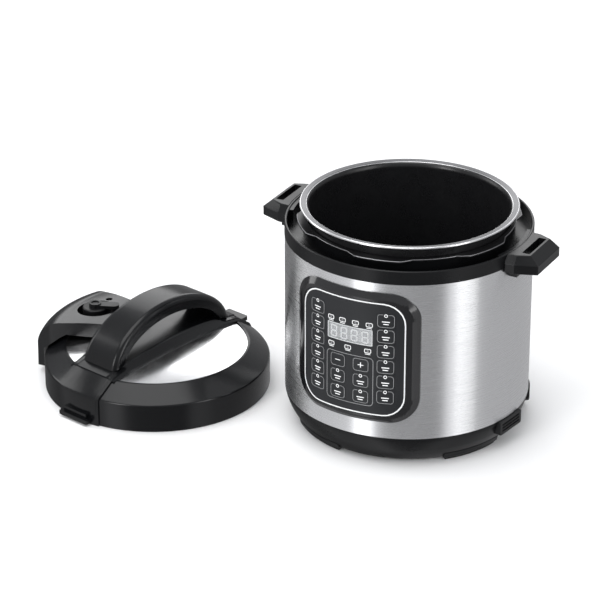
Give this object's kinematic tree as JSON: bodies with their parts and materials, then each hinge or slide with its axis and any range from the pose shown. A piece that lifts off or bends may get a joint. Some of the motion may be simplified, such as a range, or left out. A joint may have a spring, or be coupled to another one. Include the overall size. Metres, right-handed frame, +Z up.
{
  "type": "electric pressure cooker",
  "caption": "Round steel-walled electric pressure cooker standing open, with a control panel, side handles and its arched-handle lid lying beside it.",
  "frame": {"origin": "on the worktop under the middle of the cooker", "axes": "+Z up, the control panel faces -Y, the side handles lie along X, and the lid lies at -X"},
  "size_m": [0.591, 0.3724, 0.2565],
  "materials": {
    "black_plastic": "satin moulded, fine spark texture",
    "foot_rubber": "matt",
    "shell_steel": "vertical-drawn brushed",
    "screw_steel": "zinc plated",
    "coated_steel": "semi-gloss black coating",
    "nonstick_pot": "semi-gloss non-stick coating, bright rim",
    "cast_aluminium": "cast and turned",
    "element_steel": "heat tinted",
    "board_parts": "matt",
    "circuit_board": "solder mask",
    "contact_brass": "plated",
    "clear_plastic": "clear moulded",
    "gloss_black": "polished",
    "panel_film": "fine matt film with printed outlines",
    "display_window": "clear tinted",
    "lamp_white": "diffuser",
    "display_body": "segment face",
    "mirror_steel": "mirror polished",
    "inner_steel": "satin stainless",
    "silicone": "translucent white",
    "valve_plastic": "satin"
  },
  "bodies": {
    "cooker": {"base_housing": "black_plastic", "bottom_cover": "black_plastic", "feet": "foot_rubber", "steel_shell": "shell_steel", "collar": "black_plastic", "left_handle": "black_plastic", "right_handle": "black_plastic", "housing_screws": "screw_steel", "outer_pot": "coated_steel", "heating_plate": "cast_aluminium", "heating_element": "element_steel", "sensor_bracket": "element_steel", "thermal_fuse": "board_parts", "power_board": "circuit_board", "power_inlet": "black_plastic", "inlet_pins": "contact_brass", "cup_bracket": "black_plastic", "control_bezel": "gloss_black", "control_overlay": "panel_film", "display_lens": "display_window", "indicator_lamps": "lamp_white", "display_module": "display_body", "control_board": "circuit_board"},
    "cooking_pot": {"inner_pot": "nonstick_pot"},
    "plate_sensor": {"temperature_sensor": "cast_aluminium", "sensor_spring": "element_steel"},
    "drip_cup": {"condensation_cup": "clear_plastic"},
    "lid_seal": {"sealing_ring": "silicone"},
    "lid": {"lid_cover": "black_plastic", "dome_plate": "mirror_steel", "inner_lid": "inner_steel", "ring_rack": "inner_steel", "handle_base": "black_plastic", "handle_cover": "black_plastic", "handle_liner": "black_plastic", "valve_housing": "black_plastic", "vent_pipe": "inner_steel", "anti_block_shield": "inner_steel", "lid_screws": "screw_steel"},
    "valve_knob": {"steam_valve": "valve_plastic"},
    "float_pin": {"float_valve": "inner_steel", "float_seal": "silicone"},
    "key_left_1_cap": {"key_left_1": "panel_film"},
    "key_right_1_cap": {"key_right_1": "panel_film"},
    "key_left_2_cap": {"key_left_2": "panel_film"},
    "key_right_2_cap": {"key_right_2": "panel_film"},
    "key_left_3_cap": {"key_left_3": "panel_film"},
    "key_right_3_cap": {"key_right_3": "panel_film"},
    "key_left_4_cap": {"key_left_4": "panel_film"},
    "key_right_4_cap": {"key_right_4": "panel_film"},
    "key_left_5_cap": {"key_left_5": "panel_film"},
    "key_right_5_cap": {"key_right_5": "panel_film"},
    "key_left_6_cap": {"key_left_6": "panel_film"},
    "key_right_6_cap": {"key_right_6": "panel_film"},
    "key_middle_1_cap": {"key_middle_1": "panel_film"},
    "key_middle_2_cap": {"key_middle_2": "panel_film"},
    "key_middle_3_cap": {"key_middle_3": "panel_film"},
    "key_middle_4_cap": {"key_middle_4": "panel_film"},
    "key_middle_5_cap": {"key_middle_5": "panel_film"},
    "key_middle_6_cap": {"key_middle_6": "panel_film"}
  },
  "joints": [
    {"name": "pot_lift", "type": "slide", "parent": "cooker", "child": "cooking_pot", "axis": [0, 0, 1], "range_m": [0, 0.18]},
    {"name": "sensor_press", "type": "slide", "parent": "cooker", "child": "plate_sensor", "axis": [0, 0, 1], "range_m": [-0.003, 0], "stiffness_N_per_m": 400, "springref_m": 0.002, "deforming": ["sensor_spring"]},
    {"name": "cup_pull", "type": "slide", "parent": "cooker", "child": "drip_cup", "axis": [0, 1, 0], "range_m": [0, 0.04]},
    {"name": "lid_lift", "type": "slide", "parent": "cooker", "child": "lid_seal", "axis": [0, 0, 1], "range_m": [0, 0.15]},
    {"name": "lid_turn", "type": "hinge", "parent": "lid_seal", "child": "lid", "pos_m": [-0.2845, -0.0675, 0], "axis": [0, 0, 1], "range_deg": [-30, 0]},
    {"name": "valve_turn", "type": "hinge", "parent": "lid", "child": "valve_knob", "pos_m": [-0.3665, -0.0675, 0.061], "axis": [0, 0, 1], "range_deg": [0, 35]},
    {"name": "float_rise", "type": "slide", "parent": "lid", "child": "float_pin", "axis": [0, 0, 1], "range_m": [0, 0.005]},
    {"name": "key_left_1_press", "type": "slide", "parent": "cooker", "child": "key_left_1_cap", "axis": [0.289, 0.9573, 0], "range_m": [0, 0.0004], "stiffness_N_per_m": 2500, "springref_m": -0.0002},
    {"name": "key_right_1_press", "type": "slide", "parent": "cooker", "child": "key_right_1_cap", "axis": [-0.289, 0.9573, 0], "range_m": [0, 0.0004], "stiffness_N_per_m": 2500, "springref_m": -0.0002},
    {"name": "key_left_2_press", "type": "slide", "parent": "cooker", "child": "key_left_2_cap", "axis": [0.289, 0.9573, 0], "range_m": [0, 0.0004], "stiffness_N_per_m": 2500, "springref_m": -0.0002},
    {"name": "key_right_2_press", "type": "slide", "parent": "cooker", "child": "key_right_2_cap", "axis": [-0.289, 0.9573, 0], "range_m": [0, 0.0004], "stiffness_N_per_m": 2500, "springref_m": -0.0002},
    {"name": "key_left_3_press", "type": "slide", "parent": "cooker", "child": "key_left_3_cap", "axis": [0.289, 0.9573, 0], "range_m": [0, 0.0004], "stiffness_N_per_m": 2500, "springref_m": -0.0002},
    {"name": "key_right_3_press", "type": "slide", "parent": "cooker", "child": "key_right_3_cap", "axis": [-0.289, 0.9573, 0], "range_m": [0, 0.0004], "stiffness_N_per_m": 2500, "springref_m": -0.0002},
    {"name": "key_left_4_press", "type": "slide", "parent": "cooker", "child": "key_left_4_cap", "axis": [0.289, 0.9573, 0], "range_m": [0, 0.0004], "stiffness_N_per_m": 2500, "springref_m": -0.0002},
    {"name": "key_right_4_press", "type": "slide", "parent": "cooker", "child": "key_right_4_cap", "axis": [-0.289, 0.9573, 0], "range_m": [0, 0.0004], "stiffness_N_per_m": 2500, "springref_m": -0.0002},
    {"name": "key_left_5_press", "type": "slide", "parent": "cooker", "child": "key_left_5_cap", "axis": [0.289, 0.9573, 0], "range_m": [0, 0.0004], "stiffness_N_per_m": 2500, "springref_m": -0.0002},
    {"name": "key_right_5_press", "type": "slide", "parent": "cooker", "child": "key_right_5_cap", "axis": [-0.289, 0.9573, 0], "range_m": [0, 0.0004], "stiffness_N_per_m": 2500, "springref_m": -0.0002},
    {"name": "key_left_6_press", "type": "slide", "parent": "cooker", "child": "key_left_6_cap", "axis": [0.289, 0.9573, 0], "range_m": [0, 0.0004], "stiffness_N_per_m": 2500, "springref_m": -0.0002},
    {"name": "key_right_6_press", "type": "slide", "parent": "cooker", "child": "key_right_6_cap", "axis": [-0.289, 0.9573, 0], "range_m": [0, 0.0004], "stiffness_N_per_m": 2500, "springref_m": -0.0002},
    {"name": "key_middle_1_press", "type": "slide", "parent": "cooker", "child": "key_middle_1_cap", "axis": [0.0976, 0.9952, 0], "range_m": [0, 0.0004], "stiffness_N_per_m": 2500, "springref_m": -0.0002},
    {"name": "key_middle_2_press", "type": "slide", "parent": "cooker", "child": "key_middle_2_cap", "axis": [-0.0976, 0.9952, 0], "range_m": [0, 0.0004], "stiffness_N_per_m": 2500, "springref_m": -0.0002},
    {"name": "key_middle_3_press", "type": "slide", "parent": "cooker", "child": "key_middle_3_cap", "axis": [0.0976, 0.9952, 0], "range_m": [0, 0.0004], "stiffness_N_per_m": 2500, "springref_m": -0.0002},
    {"name": "key_middle_4_press", "type": "slide", "parent": "cooker", "child": "key_middle_4_cap", "axis": [-0.0976, 0.9952, 0], "range_m": [0, 0.0004], "stiffness_N_per_m": 2500, "springref_m": -0.0002},
    {"name": "key_middle_5_press", "type": "slide", "parent": "cooker", "child": "key_middle_5_cap", "axis": [0.0976, 0.9952, 0], "range_m": [0, 0.0004], "stiffness_N_per_m": 2500, "springref_m": -0.0002},
    {"name": "key_middle_6_press", "type": "slide", "parent": "cooker", "child": "key_middle_6_cap", "axis": [-0.0976, 0.9952, 0], "range_m": [0, 0.0004], "stiffness_N_per_m": 2500, "springref_m": -0.0002}
  ]
}
